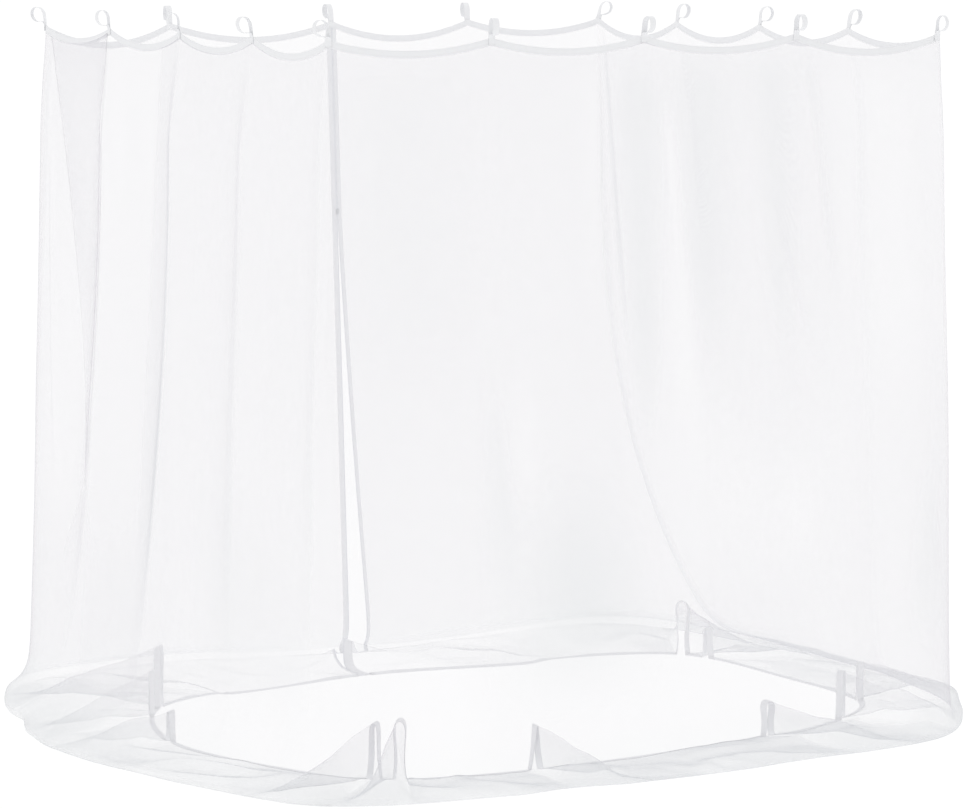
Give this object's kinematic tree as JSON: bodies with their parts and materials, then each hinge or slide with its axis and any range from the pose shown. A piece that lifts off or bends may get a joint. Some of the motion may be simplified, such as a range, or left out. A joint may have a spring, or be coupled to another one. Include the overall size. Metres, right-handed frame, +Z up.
{
  "type": "gazebo mosquito net",
  "caption": "Square mosquito net for a gazebo: sheer walls that hang from tape loops, with a zipped door in one wall and a loose skirt that turns in over the floor.",
  "frame": {"origin": "on the floor, under the middle of the net's box", "axes": "+Z up, -Y out of the front wall, +Y out of the back wall that has the zip"},
  "size_m": [2.996, 2.4928, 2.2499],
  "materials": {
    "net": "fine woven polyester net, sheer and matte",
    "tape": "woven polyester tape, matte",
    "slider": "moulded nylon, satin"
  },
  "bodies": {
    "root": {"net": "net", "top_binding": "tape", "hem_binding": "tape", "zip_tape_left": "tape", "zip_tape_right": "tape", "zip_slider": "slider", "loop_01": "tape", "loop_02": "tape", "loop_03": "tape", "loop_04": "tape", "loop_05": "tape", "loop_06": "tape", "loop_07": "tape", "loop_08": "tape", "loop_09": "tape", "loop_10": "tape", "loop_11": "tape", "loop_12": "tape", "loop_13": "tape", "loop_14": "tape", "loop_15": "tape", "loop_16": "tape"}
  },
  "joints": []
}
